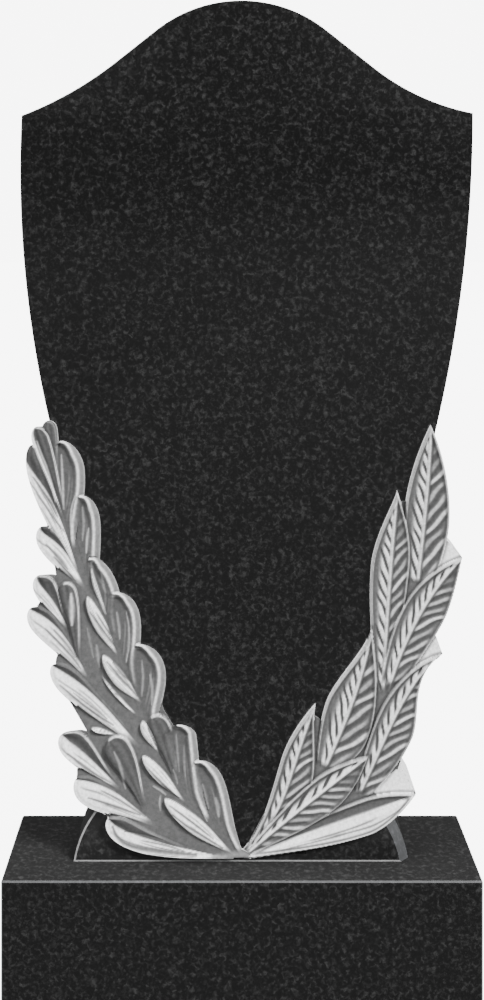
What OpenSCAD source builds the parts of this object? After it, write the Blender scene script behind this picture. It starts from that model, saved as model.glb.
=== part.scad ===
// Headstone: an ogee-topped stele of polished black gabbro on a plain plinth.
// An oak branch and a laurel branch are carved in one with the stele's lower part.
// Origin: centre of the plinth's underside. +X right, +Z up, the carved face looks to -Y.

/* [Plinth] */
// Width of the plinth from left to right
plinth_width = 600; // [500:10:900]
// Depth of the plinth from front to back
plinth_depth = 200; // [140:10:300]
// Height of the plinth
plinth_height = 150; // [80:10:250]
// Small chamfer on the plinth's top and upright edges
plinth_chamfer = 2; // [1:0.5:10]

/* [Stele outline] */
// Height of the stele from its foot to the top of the crown
stele_height = 1104; // [900:4:1400]
// Thickness of the stele from front to back
stele_thickness = 90; // [60:5:130]
// Distance from the middle to the left side where the stele is widest
left_half_width = 283.5; // [230:0.5:340]
// Distance from the middle to the right side where the stele is widest
right_half_width = 297; // [240:0.5:350]
// Distance from the middle to the left side at the waist
left_waist = 54; // [40:1:90]
// Distance from the middle to the right side at the waist
right_waist = 83; // [40:1:100]
// Height of the waist above the foot, behind the leaves
waist_height = 118; // [90:1:140]
// Height from the left side's widest point up to the left shoulder
left_bulge_drop = 71; // [0:1:150]

/* [Crown] */
// Radius of the round top
crown_radius = 176; // [140:2:200]
// Steepest slope of the crown, in degrees
crown_slope = 38.3; // [36:0.1:40]
// How far the left shoulder lies below the top
left_shoulder_drop = 147.5; // [140:0.5:150]
// How far the right shoulder lies below the top
right_shoulder_drop = 144.5; // [138:0.5:147]
// Slope of the crown where it meets the left shoulder, in degrees
left_shoulder_slope = 21; // [15:1:25]
// Slope of the crown where it meets the right shoulder, in degrees
right_shoulder_slope = 11; // [8:1:16]

/* [Foot] */
// Half width of the foot where it stands on the plinth
foot_half_width = 215; // [180:5:260]
// Height of the foot's rounded corners
foot_rise = 120; // [95:5:135]
// Radius of the foot's rounded corners
foot_radius = 142; // [136:2:160]
// Chamfer along the front edge of the foot's right corner
foot_chamfer = 12; // [2:1:20]
// Arris along the front edge of the foot's left corner
foot_arris = 2.2; // [0.6:0.2:6]

/* [Branches] */
// How far the oak branch reaches out to the left of the middle
oak_reach = 282; // [240:2:330]
// How far the laurel branch reaches out to the right of the middle
laurel_reach = 282; // [240:2:330]
// Height of the topmost leaf tip above the foot
branch_height = 567; // [470:1:690]
// How far the carving starts above the bottom edge of the foot
branch_lift = 2; // [0:1:10]
// How far a leaf's rim stands proud of the face at its base
rim_at_base = 5; // [3:0.5:8]
// How far a leaf's rim stands proud of the face at its tip
rim_at_tip = 12; // [8:0.5:20]
// How deep a leaf is hollowed between its rims and its midrib
leaf_hollow = 4; // [2:0.5:9]
// How far the stone between the oak lobes stands proud of the face
oak_bed = 5; // [1:0.5:6]
// How far the stone between the laurel leaves stands proud of the face
laurel_bed = 3; // [1:0.5:5]
// How far the stems stand proud of the stone beside them
stem_rise = 1; // [0.5:0.5:5]
// How far the oak is cut back behind each lobe, for every mm below the eye
undercut = 0.047; // [0:0.001:0.06]
// Height above the foot of the eye from which the undercut is hidden
eye_height = 825; // [600:25:1100]

/* [Hidden] */

face = -stele_thickness / 2;
back = stele_thickness / 2;
crown_step = 4;      // degrees of arc between two points of the crown
side_points = 16;    // points along each long side
foot_step = 6;       // degrees of arc between two points of the foot
leaf_stations = 8;   // cross-sections along a leaf
leaf_end = 0.995;    // the last cross-section, just short of the tip
hollow_place = 0.55; // where a leaf is deepest, from its midrib to its rim
undercut_start = 20; // the undercut grows in from this height above the foot
undercut_full = 130; // and is full from this height up

// The leaves below are drawn for this reach and height, in millimetres from the
// middle of the foot's bottom edge.
drawn_reach = 283;
drawn_height = 567;

// Each oak lobe: its axis from base to tip, half widths to the left and to the
// right of it, where along it the lobe is widest, and its width there at the base.
oak_lobes = [
    [[[-237, 480], [-243, 540], [-247, 567]], 10, 9, 0.80, 0.5],
    [[[-215, 400], [-229, 455], [-231, 541]], 12, 28, 0.75, 0.1],
    [[[-203, 352], [-250, 460], [-268, 536]], 16, 14, 0.75, 0.15],
    [[[-226, 440], [-248, 513], [-263, 559]], 11, 13, 0.82, 0.3],
    [[[-188, 340], [-203, 430], [-206, 471]], 12, 21, 0.66, 0.3],
    [[[-200, 350], [-238, 398], [-257, 431]], 16, 13, 0.70, 0.2],
    [[[-165, 290], [-178, 350], [-194, 391]], 12, 22, 0.50, 0.3],
    [[[-172, 318], [-187, 345], [-193, 376]], 3, 4, 0.60, 0.3],
    [[[-140, 220], [-157, 310], [-163, 347]], 14, 27, 0.62, 0.3],
    [[[-156, 260], [-184, 305], [-198, 341]], 9, 9, 0.55, 0.1],
    [[[-195, 232], [-240, 297], [-271, 326]], 17, 15, 0.72, 0.15],
    [[[-222, 298], [-250, 340], [-260, 369]], 13, 17, 0.72, 0.2],
    [[[-208, 250], [-217, 330], [-227, 360]], 12, 13, 0.78, 0.25],
    [[[-118, 160], [-130, 240], [-133, 281]], 14, 32, 0.60, 0.3],
    [[[-126, 202], [-158, 232], [-178, 266]], 10, 10, 0.55, 0.1],
    [[[-130, 185], [-163, 212], [-180, 240]], 3, 3, 0.35, 0.3],
    [[[-130, 146], [-200, 210], [-242, 254]], 17, 16, 0.74, 0.2],
    [[[-160, 163], [-180, 168], [-193, 172]], 5, 4, 0.60, 0.3],
    [[[-84, 100], [-98, 165], [-115, 189]], 14, 16, 0.72, 0.3],
    [[[-104, 138], [-121, 165], [-127, 182]], 8, 6, 0.60, 0.2],
    [[[-45, 50], [-80, 140], [-80, 178]], 20, 21, 0.80, 0.3],
    [[[-110, 47], [-175, 88], [-213, 107]], 23, 13, 0.70, 0.2],
    [[[-155, 93], [-205, 133], [-230, 166]], 16, 22, 0.74, 0.2],
    [[[-122, 60], [-148, 135], [-170, 160]], 19, 19, 0.76, 0.2],
    [[[-69, 73], [-105, 110], [-127, 137]], 9, 9, 0.60, 0.1],
    [[[-2, 8], [-44, 95], [-58, 131]], 12, 23, 0.66, 0.2],
    [[[-10, 5], [-140, 16], [-170, 58]], 16, 17, 0.75, 0.1],
    [[[-5, 6], [-65, 48], [-99, 82]], 12, 12, 0.55, 0.1],
];

// Each laurel leaf: its axis, then for its left and its right half the half width,
// where it is widest and how fast it narrows to the tip, and its width at the base.
laurel_leaves = [
    [[[226, 355], [240, 470], [243, 560]], [26, 0.45, 1.0], [32, 0.36, 1.0], 0.6],
    [[[182, 215], [190, 380], [200, 476]], [25, 0.55, 1.5], [24, 0.60, 1.1], 0.35],
    [[[190, 225], [225, 334], [283, 391]], [24, 0.50, 1.0], [31, 0.50, 1.0], 0.5],
    [[[106, 118], [151, 210], [168, 302]], [31, 0.42, 1.8], [36, 0.28, 1.3], 0.4],
    [[[150, 85], [185, 150], [205, 232], [258, 267]], [21, 0.50, 1.0], [32, 0.42, 3.0], 0.4],
    [[[5, 10], [60, 60], [60, 120], [95, 202]], [17, 0.68, 1.0], [30, 0.55, 1.2], 0.3],
    [[[2, 6], [130, 60], [224, 88]], [14, 0.70, 1.0], [32, 0.65, 1.0], 0.1],
    [[[5, 8], [95, 85], [163, 137]], [19, 0.60, 1.0], [28, 0.60, 1.0], 0.1],
];

// How a half width grows from the base and closes at the tip: powers of the two curves
oak_neck = 1.5;
oak_belly = 2;
oak_tip = 0.55;
laurel_neck = 1;
laurel_belly = 1.7;

// The stems that the leaves grow from: a centre and a radius at each place
oak_stem = [
    [-14, 11, 5], [-50, 42, 7], [-92, 88, 8], [-122, 140, 8], [-150, 195, 7],
    [-176, 250, 7], [-196, 310, 6], [-214, 370, 5], [-232, 430, 5], [-243, 490, 4],
];
laurel_stem = [
    [14, 12, 5], [50, 42, 7], [88, 84, 8], [134, 118, 7], [160, 172, 6],
    [180, 232, 6], [198, 292, 5], [214, 350, 5], [232, 410, 4],
];

// The solid stone behind each branch, from notch to notch between the leaves
oak_core = [
    [-4, 14], [-58, 127], [-99, 196], [-132, 280], [-160, 345], [-184, 392],
    [-207, 468], [-228, 510], [-246, 540], [-258, 520], [-262, 475], [-247, 432],
    [-238, 370], [-250, 345], [-256, 318], [-234, 262], [-222, 230], [-196, 180],
    [-190, 160], [-208, 122], [-208, 108], [-182, 70], [-173, 60], [-140, 22], [-20, 7],
];
laurel_core = [
    [4, 14], [14, 8], [110, 24], [184, 48], [200, 70], [201, 118], [220, 180],
    [222, 230], [247, 290], [266, 350], [262, 404], [262, 470], [242, 545],
    [214, 462], [198, 462], [170, 385], [170, 304], [150, 258], [120, 225],
    [104, 180], [92, 188], [66, 160], [46, 92],
];

// The flat webs between the outer leaf tips
oak_webs = [
    [[-226, 218], [-196, 166], [-150, 160], [-165, 205]],
    [[-203, 165], [-196, 150], [-180, 150], [-182, 166], [-196, 167]],
    [[-236, 268], [-238, 262], [-238, 250], [-215, 245], [-205, 262]],
    [[-211, 122], [-211, 110], [-190, 95], [-165, 97], [-180, 120]],
    [[-250, 438], [-247, 426], [-225, 405], [-230, 425]],
    [[-230, 298], [-230, 320], [-258, 336], [-262, 330]],
];
laurel_webs = [
    [[262, 414], [283, 391], [250, 360], [230, 380]],
    [[250, 289], [258, 267], [225, 240], [215, 255]],
    [[198, 117], [207, 117], [224, 88], [185, 75], [165, 95]],
];
// Places where the bed runs up into the fork between two leaf tips
laurel_forks = [
    [[203, 458], [209, 462], [214, 462], [218, 440], [205, 430]],
    [[97, 178], [104, 180], [108, 160], [95, 160]],
];

function point_on(points, u) = len(points) == 1
    ? points[0]
    : point_on([for (i = [0:len(points) - 2]) points[i] * (1 - u) + points[i + 1] * u], u);
function steps_of(points) = [for (i = [0:len(points) - 2]) points[i + 1] - points[i]];
function unit(v) = v / norm(v);
function width_share(u, widest, base, neck, belly, tip) = u < widest
    ? base + (1 - base) * pow(sin(90 * u / widest), neck)
    : pow(1 - pow((u - widest) / (1 - widest), belly), tip);
function placed(p) = [
    p.x * (p.x < 0 ? oak_reach : laurel_reach) / drawn_reach,
    branch_lift + p.y * (branch_height - branch_lift) / drawn_height
];

// ---- stele outline ----
// The radius of a long side that runs from the widest point down to the waist
function side_radius(half_width, waist, widest_height) =
    (pow(widest_height - waist_height, 2) + pow(half_width - waist, 2))
    / (2 * (half_width - waist));
function side_x(half_width, waist, widest_height, z) =
    let (r = side_radius(half_width, waist, widest_height))
    half_width - r + sqrt(r * r - pow(widest_height - z, 2));

// One half of the outline, from the waist up to the top of the crown
function half_outline(half_width, waist, bulge_drop, shoulder_drop, shoulder_slope) =
    let (
        shoulder = stele_height - shoulder_drop,
        widest = shoulder - bulge_drop,
        shoulder_x = side_x(half_width, waist, widest, shoulder),
        // A straight run and a hollow arc carry the round top down to the shoulder
        across = shoulder_x - crown_radius * sin(crown_slope),
        down = shoulder_drop - crown_radius * (1 - cos(crown_slope)),
        arc_x = sin(crown_slope) - sin(shoulder_slope),
        arc_z = cos(shoulder_slope) - cos(crown_slope),
        det = cos(crown_slope) * arc_z - arc_x * sin(crown_slope),
        run = (across * arc_z - arc_x * down) / det,
        hollow_radius = (cos(crown_slope) * down - sin(crown_slope) * across) / det,
        hollow_x = shoulder_x - hollow_radius * arc_x,
        hollow_z = shoulder + hollow_radius * arc_z
    )
    concat(
        [for (i = [0:side_points])
            let (z = waist_height + (shoulder - waist_height) * i / side_points)
            [side_x(half_width, waist, widest, z), z]],
        [for (a = [shoulder_slope + crown_step:crown_step:crown_slope])
            [hollow_x + hollow_radius * (sin(crown_slope) - sin(a)),
             hollow_z - hollow_radius * (cos(a) - cos(crown_slope))]],
        [[hollow_x, hollow_z]],
        [for (a = [crown_slope:-crown_step:crown_step / 2])
            [crown_radius * sin(a), stele_height - crown_radius * (1 - cos(a))]]
    );
function mirrored(points) = [for (i = [len(points) - 1:-1:0]) [-points[i].x, points[i].y]];

left_half = half_outline(left_half_width, left_waist, left_bulge_drop,
                         left_shoulder_drop, left_shoulder_slope);
right_half = half_outline(right_half_width, right_waist, 0,
                          right_shoulder_drop, right_shoulder_slope);

// Turns an X-Z outline into a plate between two depths
module plate(front, rear) {
    translate([0, rear, 0]) rotate([90, 0, 0]) linear_extrude(rear - front) children();
}

module slab() {
    outline = concat([[right_waist, 0]], right_half, [[0, stele_height]],
                     mirrored(left_half), [[-left_waist, 0]]);
    plate(face, back) polygon(outline);
}

// ---- foot ----
function foot_corner(inset) =
    let (
        centre_z = foot_rise - foot_radius,
        centre_x = foot_half_width - sqrt(pow(foot_radius, 2) - pow(centre_z, 2)),
        radius = foot_radius - inset,
        start = asin(-centre_z / radius)
    )
    [for (i = [0:foot_step:90])
        let (a = start + (90 - start) * i / 90)
        [centre_x + radius * cos(a), centre_z + radius * sin(a)]];
function foot_outline(left_inset, right_inset) =
    concat(foot_corner(right_inset), mirrored(foot_corner(left_inset)));

module foot() {
    hull() {
        plate(face, back) polygon(foot_outline(foot_arris, foot_chamfer));
        plate(face + foot_arris, back) polygon(foot_outline(0, foot_chamfer));
        plate(face + foot_chamfer, back) polygon(foot_outline(0, 0));
    }
}

// ---- leaves ----
// A leaf is a dished blade: raised rims, a raised midrib and a hollow on each side.
// Each cross-section runs from its left wall over the top to its right wall. An oak
// lobe is undercut behind the face: there its walls fall back, lower towards the rear.
function fall(z) = undercut * (eye_height - z)
    * min(max((z - undercut_start) / (undercut_full - undercut_start), 0), 1);
function behind(p, lowered) = [p.x, back, p.y - (lowered ? fall(p.y) : 0)];

function section(axis, u, left, right, bed, lowered) =
    let (
        spine = placed(point_on(axis, u)),
        along = unit(placed(point_on(axis, u) + unit(point_on(steps_of(axis), u))) - spine),
        across = [-along.y, along.x],
        rim = rim_at_base + (rim_at_tip - rim_at_base) * u,
        dip = min(leaf_hollow * u, rim - bed),
        marks = [[left, rim], [left * hollow_place, rim - dip], [0, rim - dip / 3],
                 [-right * hollow_place, rim - dip], [-right, rim]],
        left_wall = spine + across * left,
        right_wall = spine - across * right
    )
    concat(
        [behind(left_wall, lowered)],
        lowered ? [[left_wall.x, face, left_wall.y]] : [],
        [for (m = marks)
            let (p = spine + across * m[0])
            [p.x, face - m[1], p.y]],
        lowered ? [[right_wall.x, face, right_wall.y]] : [],
        [behind(right_wall, lowered)]
    );

function sections_of(axis, left, right, base, neck, belly, bed, lowered) =
    // left and right: half width, where it is widest, power of the closing curve
    [for (i = [0:leaf_stations])
        let (
            u = leaf_end * sin(90 * i / leaf_stations),
            share_left = width_share(u, left[1], base, neck, belly, left[2]),
            share_right = width_share(u, right[1], base, neck, belly, right[2])
        )
        section(axis, u, left[0] * share_left, right[0] * share_right, bed, lowered)];

module leaf(sections) {
    around = len(sections[0]);
    sides = [for (i = [0:leaf_stations - 1]) for (j = [0:around - 1])
        let (k = (j + 1) % around, here = i * around, next = here + around)
        each [[here + k, here + j, next + k], [next + k, here + j, next + j]]];
    last = leaf_stations * around;
    ends = [[for (j = [0:around - 1]) j], [for (j = [around - 1:-1:0]) last + j]];
    polyhedron([for (s = sections) for (p = s) p], concat(sides, ends));
}

module stem(places, bed) {
    for (i = [0:len(places) - 2]) hull() {
        for (p = [places[i], places[i + 1]])
            plate(face - bed - stem_rise, 0) translate(placed([p[0], p[1]])) circle(p[2] / 2, $fn = 8);
    }
}

module filled(outlines, bed) {
    for (outline = outlines) plate(face - bed, back) polygon([for (p = outline) placed(p)]);
}

// The same, with the stone behind the face falling back as it does behind the lobes
module filled_undercut(outlines, bed) {
    for (outline = outlines) {
        count = len(outline);
        ring = [for (p = outline) placed(p)];
        sides = [for (r = [0, count]) for (i = [0:count - 1])
            let (k = (i + 1) % count)
            each [[r + k, r + count + k, r + i], [r + count + k, r + count + i, r + i]]];
        polyhedron(
            concat([for (p = ring) [p.x, face - bed, p.y]],
                   [for (p = ring) [p.x, face, p.y]],
                   [for (p = ring) behind(p, true)]),
            concat([[for (i = [count - 1:-1:0]) i]], sides, [[for (i = [0:count - 1]) 2 * count + i]])
        );
    }
}

leaves = concat(
    [for (lobe = oak_lobes)
        sections_of(lobe[0], [lobe[1], lobe[3], oak_tip], [lobe[2], lobe[3], oak_tip],
                    lobe[4], oak_neck, oak_belly, oak_bed, true)],
    [for (row = laurel_leaves)
        sections_of(row[0], row[1], row[2], row[3], laurel_neck, laurel_belly, laurel_bed, false)]
);

module branches() {
    for (sections = leaves) leaf(sections);
    stem(oak_stem, oak_bed);
    stem(laurel_stem, laurel_bed);
    filled_undercut(concat([oak_core], oak_webs), oak_bed);
    filled(concat([laurel_core], laurel_webs, laurel_forks), laurel_bed);
}

module stele() {
    color([0.16, 0.16, 0.16]) translate([0, 0, plinth_height]) {
        slab();
        foot();
        branches();
    }
}

// ---- plinth ----
function chamfered(width, height, chamfer) = [
    [-width / 2, 0], [width / 2, 0], [width / 2, height - chamfer],
    [width / 2 - chamfer, height], [-width / 2 + chamfer, height], [-width / 2, height - chamfer]
];

module plinth() {
    corner = plinth_chamfer;
    color([0.13, 0.13, 0.13]) intersection() {
        linear_extrude(plinth_height) polygon([
            for (s = [[1, 1], [-1, 1], [-1, -1], [1, -1]])
            let (x = s[0] * plinth_width / 2, y = s[1] * plinth_depth / 2,
                 a = [x - s[0] * corner, y], b = [x, y - s[1] * corner])
            each (s[0] == s[1] ? [b, a] : [a, b])]);
        plate(-plinth_depth, plinth_depth)
            polygon(chamfered(plinth_width, plinth_height, plinth_chamfer));
        rotate([90, 0, 90]) translate([0, 0, -plinth_width])
            linear_extrude(2 * plinth_width)
            polygon(chamfered(plinth_depth, plinth_height, plinth_chamfer));
    }
}

stele();
plinth();
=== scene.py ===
# %% [markdown]
# # A headstone with carved branches
# This lesson builds the looks of a headstone: a polished black slab with an ogee top,
# an oak branch and a laurel branch carved in one with it, and a plain plinth under it.
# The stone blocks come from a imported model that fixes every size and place. Here each
# block gets its finer surface: true curves, leaves with rims, ribs and veins, small
# ground edges, and stone that looks polished in one place and tooled in another.

# %% Load the fixed frame
import math

import bpy
import numpy as np
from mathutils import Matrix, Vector


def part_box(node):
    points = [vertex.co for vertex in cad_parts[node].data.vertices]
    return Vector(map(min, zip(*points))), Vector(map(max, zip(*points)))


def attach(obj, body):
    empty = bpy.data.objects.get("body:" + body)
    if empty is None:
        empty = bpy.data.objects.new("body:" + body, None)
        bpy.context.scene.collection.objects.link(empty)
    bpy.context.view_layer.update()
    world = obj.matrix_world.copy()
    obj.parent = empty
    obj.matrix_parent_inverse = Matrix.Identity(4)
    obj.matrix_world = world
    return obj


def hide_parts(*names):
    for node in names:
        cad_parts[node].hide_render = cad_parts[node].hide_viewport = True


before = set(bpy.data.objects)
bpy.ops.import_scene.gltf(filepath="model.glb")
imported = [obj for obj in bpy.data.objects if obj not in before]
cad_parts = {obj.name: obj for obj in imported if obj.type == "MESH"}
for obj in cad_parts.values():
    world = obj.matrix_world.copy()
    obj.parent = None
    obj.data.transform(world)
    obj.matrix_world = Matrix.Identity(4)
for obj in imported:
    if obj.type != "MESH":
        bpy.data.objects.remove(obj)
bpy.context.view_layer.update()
MM = 0.001
stele_low, stele_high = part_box("stele")
plinth_low, plinth_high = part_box("plinth")
print("stele from", tuple(stele_low), "to", tuple(stele_high))
print("plinth from", tuple(plinth_low), "to", tuple(plinth_high))

# %% [markdown]
# ## Small helpers
# Operators act on whatever is selected, and loading the frame leaves its pieces
# selected. So every piece starts by deselecting all. Edges to bevel are then picked in
# code, by where their two ends lie, as a person would pick them with the mouse.

# %% Select, name and bevel things
# Two places closer than this, in metres, count as one.
HAIR = 1e-5


def start_clean():
    if bpy.context.mode != "OBJECT":
        bpy.ops.object.mode_set(mode="OBJECT")
    bpy.ops.object.select_all(action="DESELECT")


def newest(name):
    piece = bpy.context.active_object
    piece.name = name
    piece.data.name = name
    return piece


def only(piece):
    start_clean()
    piece.select_set(True)
    bpy.context.view_layer.objects.active = piece


def bevel_edges(piece, test, width, segments=1):
    """Bevel the edges whose two ends pass the test, and no others."""
    only(piece)
    bpy.ops.object.mode_set(mode="EDIT")
    bpy.ops.mesh.select_mode(type="EDGE")
    bpy.ops.mesh.select_all(action="DESELECT")
    bpy.ops.object.mode_set(mode="OBJECT")
    points = piece.data.vertices
    for edge in piece.data.edges:
        a, b = (points[i].co for i in edge.vertices)
        edge.select = bool(test(a, b))
    bpy.ops.object.mode_set(mode="EDIT")
    bpy.ops.mesh.bevel(offset=width, segments=segments, affect="EDGES")
    bpy.ops.object.mode_set(mode="OBJECT")


# %% [markdown]
# ## The stone
# The whole headstone is gabbro, a dark igneous rock that masons sell as black granite.
# Polished, it is almost black with soft grey flecks of feldspar a few millimetres wide,
# and it mirrors the room faintly. Where the chisel bruises it, the same stone turns
# light grey, because the broken crystals scatter light. Between the two lie the foot's
# satin face, the honed tops and the ground edges. So these are five finishes of one
# stone, not five stones.

# %% Colours and a node helper
def linear(hex_colour):
    """A colour written as #rrggbb turned to the linear values that shaders use."""
    values = [int(hex_colour[i:i + 2], 16) / 255 for i in (1, 3, 5)]
    return [v / 12.92 if v <= 0.04045 else ((v + 0.055) / 1.055) ** 2.4 for v in values] + [1]


def add_node(tree, kind, settings=None, links=None):
    """Add a node, set its values by name, and link inputs to other nodes' outputs."""
    node = tree.nodes.new(kind)
    for key, value in (settings or {}).items():
        if isinstance(key, int) or key in node.inputs:
            node.inputs[key].default_value = value
        else:
            setattr(node, key, value)
    for key, source in (links or {}).items():
        tree.links.new(source, node.inputs[key])
    return node


def new_material(name):
    material = bpy.data.materials.new(name)
    material.use_nodes = True
    material.node_tree.nodes.clear()
    return material, material.node_tree


def finish_material(tree, shader):
    add_node(tree, "ShaderNodeOutputMaterial", links={"Surface": shader.outputs["BSDF"]})


# %% [markdown]
# ### Polished gabbro
# The polish is near a mirror, but a sawn slab is never perfect, so it is left slightly
# soft. Flecks are 3 to 6 mm clouds of grey, with finer grains of 1 to 2 mm between them.
# Two noises with cells of 6.2 and 2.4 mm, each cut to a soft threshold, give both. The
# honed, satin and ground finishes are the same flecked stone, paler and less shiny.

# %% Make the polished gabbro
FLECK = 6.2 * MM
GRAIN = 2.4 * MM
FLECK_CUT = (0.45, 0.82)
GRAIN_CUT = (0.58, 0.82)
GRAIN_SHARE = 0.5
POLISH_ROUGHNESS = 0.16
STONE_IOR = 1.52


def flecks(tree, position, size, low, high, detail):
    noise = add_node(tree, "ShaderNodeTexNoise",
                     {"Scale": 1 / size, "Detail": detail, "Roughness": 0.6, "Distortion": 0.5},
                     {"Vector": position})
    return add_node(tree, "ShaderNodeMapRange",
                    {"From Min": low, "From Max": high, "interpolation_type": "SMOOTHSTEP"},
                    {"Value": noise.outputs["Fac"]})


def flecked_gabbro(name, ground, fleck, roughness, ior=STONE_IOR):
    """Smooth gabbro: the colour of its ground, of its flecks, and how dull it is."""
    material, tree = new_material(name)
    where = add_node(tree, "ShaderNodeTexCoord").outputs["Object"]
    spots = flecks(tree, where, FLECK, *FLECK_CUT, 3.0)
    grains = flecks(tree, where, GRAIN, *GRAIN_CUT, 1.0)
    both = add_node(tree, "ShaderNodeMath", {"operation": "MULTIPLY_ADD", 1: GRAIN_SHARE},
                    {0: grains.outputs["Result"], 2: spots.outputs["Result"]})
    colour = add_node(tree, "ShaderNodeMix",
                      {"data_type": "RGBA", 6: linear(ground), 7: linear(fleck)},
                      {0: both.outputs["Value"]})
    shader = add_node(tree, "ShaderNodeBsdfPrincipled",
                      {"Roughness": roughness, "IOR": ior},
                      {"Base Color": colour.outputs[2]})
    finish_material(tree, shader)
    return material


polished = flecked_gabbro("polished_gabbro", "#030303", "#2d2d2d", POLISH_ROUGHNESS)
print("made", polished.name)

# %% [markdown]
# ### Ground edges
# The foot's broad chamfer and the plinth's edges are ground with a coarse wheel and not
# polished. They look dark grey and dull, a shade lighter than the polish beside them.

# %% Make the ground edge finish
ground_edge = flecked_gabbro("ground_gabbro_edge", "#323334", "#4a4b4e", 0.55)
print("made", ground_edge.name)

# %% [markdown]
# ### Tooled gabbro
# The carving is left as the chisel and the small grinder made it, and the bruised stone
# is pale. Its light and shade are painted on as well: rims, ribs and the sides that face
# the key light are painted nearly white as lit, and hollows, pits and the sides turned away
# are painted dark as shade. How light each place is comes with the mesh, in an attribute
# named tone, because only the shape knows where a rim or a hollow lies. Fine noise breaks
# it up and a small bump gives it tooth. The thinnest edges of the foot are painted light
# grey in the same way, a painted highlight along each.

# %% Make the tooled gabbro
SPECKLE = 4 * MM
TOOTH = 1.6 * MM
TOOTH_DEPTH = 0.4 * MM


def tooled_gabbro():
    material, tree = new_material("tooled_gabbro")
    tone = add_node(tree, "ShaderNodeAttribute", {"attribute_name": "tone"})
    where = add_node(tree, "ShaderNodeTexCoord").outputs["Object"]
    speckle = add_node(tree, "ShaderNodeTexNoise",
                       {"Scale": 1 / SPECKLE, "Detail": 3.0, "Roughness": 0.6},
                       {"Vector": where})
    swing = add_node(tree, "ShaderNodeMapRange",
                     {"From Min": 0.3, "From Max": 0.7, "To Min": 0.74, "To Max": 1.18},
                     {"Value": speckle.outputs["Fac"]})
    shade = add_node(tree, "ShaderNodeVectorMath", {"operation": "SCALE"},
                     {0: tone.outputs["Color"], "Scale": swing.outputs["Result"]})
    tooth = add_node(tree, "ShaderNodeTexNoise", {"Scale": 1 / TOOTH, "Detail": 2.0},
                     {"Vector": where})
    bump = add_node(tree, "ShaderNodeBump", {"Strength": 0.25, "Distance": TOOTH_DEPTH},
                    {"Height": tooth.outputs["Fac"]})
    shader = add_node(tree, "ShaderNodeBsdfPrincipled", {"Roughness": 0.85, "IOR": 1.45},
                      {"Base Color": shade.outputs["Vector"], "Normal": bump.outputs["Normal"]})
    finish_material(tree, shader)
    return material


tooled = tooled_gabbro()
print("made", tooled.name)

# %% [markdown]
# ### Honed and satin faces
# The plinth's top and the foot's sides and curved top are honed: rubbed flat but not
# buffed. Their fine pits swallow light, so they mirror less than the stone's own IOR
# would give, and their ground is painted paler than the polish, a painted reflection of
# the pale room. So they look like dark slate. The foot's front is rubbed further, to a
# satin that mirrors the room only softly, and its ground is painted paler than the
# slab's, a painted sheen that gives it a soft grey look.

# %% Make the honed and the satin finish, and put all five in order
HONED_IOR = 1.3
honed = flecked_gabbro("honed_gabbro", "#171717", "#383838", 0.75, HONED_IOR)
foot_polish = flecked_gabbro("foot_gabbro", "#131313", "#363636", 0.3)
FINISHES = [polished, tooled, ground_edge, honed, foot_polish]
POLISHED, TOOLED, GROUND, HONED, FOOT_POLISH = range(5)
print("made", honed.name, "and", foot_polish.name)

# %% [markdown]
# ## Solid plates
# The slab, the foot and the cutters that give the branches their outlines are plates:
# an outline seen from the front, with a thickness. A filled circle is added with as
# many corners as the outline needs, each corner is put on the outline, and the face is
# extruded back. Every plate carries the same five finishes in the same order, and the
# same tone attribute, so that they can be joined later without losing either.

# %% Turn an outline into a plate
WHITEST = 0.90
DARKEST = 0.01
WHITEST_TONE = 0.88
TONE_CONTRAST = 5.0


def set_tone(piece, tones):
    """Write one grey per face corner. tones is one number or one per corner."""
    corners = len(piece.data.loops)
    greys = np.broadcast_to(np.asarray(tones, dtype=float), (corners,))
    # Equal steps of tone look equal to the eye when each multiplies the light.
    light = WHITEST * np.exp(TONE_CONTRAST * (greys - WHITEST_TONE))
    light = np.clip(light, DARKEST, WHITEST)
    colours = np.ones((corners, 4), dtype=np.float32)
    colours[:, :3] = light[:, None]
    layer = piece.data.attributes.get("tone")
    if layer is None:
        layer = piece.data.attributes.new("tone", "FLOAT_COLOR", "CORNER")
    layer.data.foreach_set("color", colours.ravel())


def give_finishes(piece, index):
    for material in FINISHES:
        piece.data.materials.append(material)
    for face in piece.data.polygons:
        face.material_index = index


def plate(name, outline, front, rear, finish=POLISHED, grey=0.0, lean=None):
    """outline: (x, z) corners in metres, seen from the front. front and rear: y.
    lean: how far each corner falls from UNDERCUT_START to the rear."""
    start_clean()
    bpy.ops.mesh.primitive_circle_add(vertices=len(outline), fill_type="NGON")
    piece = newest(name)
    for vertex, (x, z) in zip(piece.data.vertices, outline):
        vertex.co = (x, front, z)
    bpy.ops.object.mode_set(mode="EDIT")
    bpy.ops.mesh.select_all(action="SELECT")
    for depth in [UNDERCUT_START - front, rear - UNDERCUT_START] if lean else [rear - front]:
        bpy.ops.mesh.extrude_region_move(TRANSFORM_OT_translate={"value": (0, depth, 0)})
    bpy.ops.mesh.select_all(action="SELECT")
    bpy.ops.mesh.normals_make_consistent(inside=False)
    bpy.ops.object.mode_set(mode="OBJECT")
    if lean:
        for vertex in piece.data.vertices:
            if abs(vertex.co.y - rear) < HAIR:
                vertex.co.z -= lean(vertex.co.z)
    give_finishes(piece, finish)
    set_tone(piece, grey)
    return piece


# %% [markdown]
# ## The slab
# The slab's sides bulge gently and run in to a waist that the leaves hide. The crown is
# a round top, a straight slope and a hollow that eases out to each shoulder. The left
# and right sides differ a little, as they do on hand-cut stone. The same few sizes that
# fix the solid block give the outline here, with finer steps along each curve.

# %% Sizes of the slab
FACE = -stele_high[1]
BACK = stele_high[1]
FOOT_Z = plinth_high[2]
HEIGHT = stele_high[2] - FOOT_Z
WAIST_HEIGHT = 118 * MM
CROWN_RADIUS = 176 * MM
CROWN_SLOPE = math.radians(38.3)
SIDE_STEPS, HOLLOW_STEPS, CROWN_STEPS = 60, 14, 30
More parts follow.
